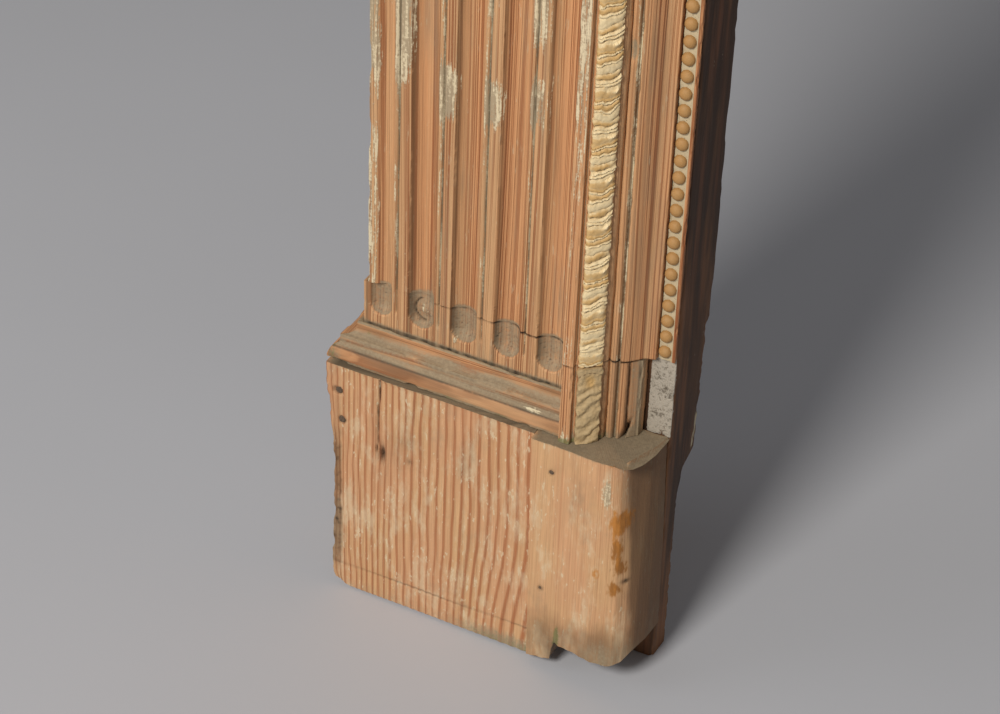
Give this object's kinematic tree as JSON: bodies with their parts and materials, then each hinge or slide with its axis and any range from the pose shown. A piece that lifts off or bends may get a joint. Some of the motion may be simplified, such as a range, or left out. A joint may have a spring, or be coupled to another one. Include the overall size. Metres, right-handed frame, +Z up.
{
  "type": "carved fireplace mantel",
  "caption": "Pine fireplace mantel with fluted pilasters on plain plinths, an architrave with moulded ribbon and beads, plain frieze, cornice and shelf.",
  "frame": {"origin": "middle of the footprint on the floor, half way between the shelf's front and the back plane", "axes": "+X to the viewer's right along the shelf, +Y back to the wall, +Z up; the front faces -Y"},
  "size_m": [1.524, 0.15, 1.25],
  "materials": {
    "stripped_pine": "stripped old pine, matt, open grain with traces of filler",
    "plinth_pine": "coarse weathered pine, matt, with whitish residue",
    "dark_pine": "dark stained pine, dry",
    "back_pine": "sawn pine, unfinished",
    "composition": "moulded composition, worn ochre and cream",
    "painted_beads": "ochre beads on grey-cream gesso ground",
    "iron": "rusted iron nail heads"
  },
  "bodies": {
    "root": {"architrave_foot_left": "stripped_pine", "architrave_head": "stripped_pine", "architrave_left": "stripped_pine", "architrave_right": "stripped_pine", "base_moulding_left": "stripped_pine", "base_moulding_right": "stripped_pine", "base_return_left": "stripped_pine", "base_return_right": "stripped_pine", "bead_strip_head": "painted_beads", "bead_strip_left": "painted_beads", "bead_strip_right": "painted_beads", "block_nail_1": "iron", "block_nail_2": "iron", "cap_moulding_left": "stripped_pine", "cap_moulding_right": "stripped_pine", "cap_return_left": "stripped_pine", "cap_return_right": "stripped_pine", "corner_block_left": "plinth_pine", "corner_block_right": "plinth_pine", "cornice": "stripped_pine", "cornice_return_left": "stripped_pine", "cornice_return_right": "stripped_pine", "end_block_left": "stripped_pine", "end_block_right": "stripped_pine", "fluted_board_left": "stripped_pine", "fluted_board_right": "stripped_pine", "fluted_foot_left": "stripped_pine", "frieze_board": "stripped_pine", "plinth_board_left": "plinth_pine", "plinth_board_right": "plinth_pine", "plinth_nail_1": "iron", "plinth_nail_2": "iron", "plinth_return_left": "plinth_pine", "plinth_return_right": "plinth_pine", "return_board_left": "back_pine", "return_board_right": "back_pine", "reveal_board_left": "dark_pine", "reveal_board_right": "dark_pine", "ribbon_foot_left": "composition", "ribbon_head": "composition", "ribbon_left": "composition", "ribbon_right": "composition", "shelf": "stripped_pine", "soffit_board": "dark_pine"}
  },
  "joints": []
}
